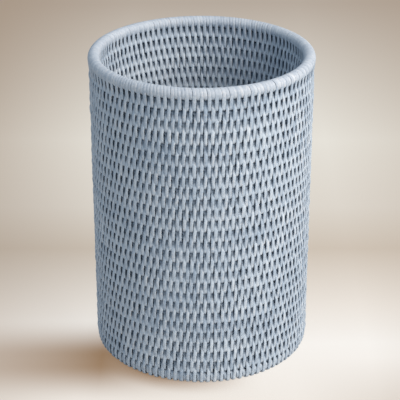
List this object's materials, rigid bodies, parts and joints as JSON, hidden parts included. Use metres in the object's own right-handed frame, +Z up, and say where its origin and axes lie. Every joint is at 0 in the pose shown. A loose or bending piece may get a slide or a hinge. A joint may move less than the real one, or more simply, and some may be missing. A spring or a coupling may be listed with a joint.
{
  "type": "wastebasket",
  "caption": "Round open-topped wastebasket of level cane hoops lashed together with flat strands, with a close-wrapped rim and a lashed base.",
  "frame": {"origin": "middle of the underside", "axes": "+Z up"},
  "size_m": [0.22, 0.22, 0.3052],
  "materials": {
    "cane": "painted matt",
    "strand": "painted matt"
  },
  "bodies": {
    "root": {"wall_hoop_01": "cane", "wall_hoop_02": "cane", "wall_hoop_03": "cane", "wall_hoop_04": "cane", "wall_hoop_05": "cane", "wall_hoop_06": "cane", "wall_hoop_07": "cane", "wall_hoop_08": "cane", "wall_hoop_09": "cane", "wall_hoop_10": "cane", "wall_hoop_11": "cane", "wall_hoop_12": "cane", "wall_hoop_13": "cane", "wall_hoop_14": "cane", "wall_hoop_15": "cane", "wall_hoop_16": "cane", "wall_hoop_17": "cane", "wall_hoop_18": "cane", "wall_hoop_19": "cane", "wall_hoop_20": "cane", "wall_hoop_21": "cane", "wall_hoop_22": "cane", "wall_hoop_23": "cane", "wall_hoop_24": "cane", "wall_hoop_25": "cane", "wall_hoop_26": "cane", "wall_hoop_27": "cane", "wall_lashing_01": "strand", "wall_lashing_02": "strand", "wall_lashing_03": "strand", "wall_lashing_04": "strand", "wall_lashing_05": "strand", "wall_lashing_06": "strand", "wall_lashing_07": "strand", "wall_lashing_08": "strand", "wall_lashing_09": "strand", "wall_lashing_10": "strand", "wall_lashing_11": "strand", "wall_lashing_12": "strand", "wall_lashing_13": "strand", "wall_lashing_14": "strand", "wall_lashing_15": "strand", "wall_lashing_16": "strand", "wall_lashing_17": "strand", "wall_lashing_18": "strand", "wall_lashing_19": "strand", "wall_lashing_20": "strand", "wall_lashing_21": "strand", "wall_lashing_22": "strand", "wall_lashing_23": "strand", "wall_lashing_24": "strand", "wall_lashing_25": "strand", "wall_lashing_26": "strand", "rim_hoop": "cane", "rim_lashing": "strand", "rim_wrap": "strand", "base_hoops": "cane", "base_heart": "cane", "base_lashing_outer": "strand", "base_lashing_inner": "strand"}
  },
  "joints": []
}
